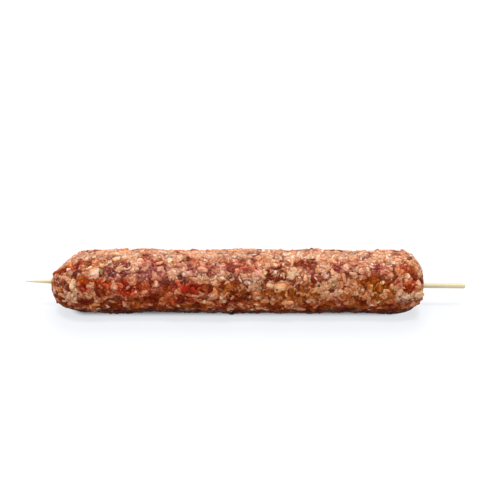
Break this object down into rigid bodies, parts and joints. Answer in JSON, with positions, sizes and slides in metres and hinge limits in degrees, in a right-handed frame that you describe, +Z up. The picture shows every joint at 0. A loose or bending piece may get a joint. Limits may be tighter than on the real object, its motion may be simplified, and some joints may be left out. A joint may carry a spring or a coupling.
{
  "type": "kofta skewer",
  "caption": "Raw kofta kebab: a long, uneven log of coarse minced meat with rounded ends and a flattened underside, pressed round a thin pointed bamboo stick.",
  "frame": {"origin": "on the table under the middle of the whole skewer: the bottom centre of its box", "axes": "+X along the stick towards its blunt cut end, +Y sideways to the far side, +Z up"},
  "size_m": [0.2, 0.0302, 0.0286],
  "materials": {
    "raw_mince": "moist raw mince, red-brown lean speckled with pale pink fat, with small specks of onion, herb and pepper",
    "bamboo": "plain pale bamboo, smooth, with a fine straight grain"
  },
  "bodies": {
    "root": {"minced_meat": "raw_mince", "bamboo_stick": "bamboo"}
  },
  "joints": []
}
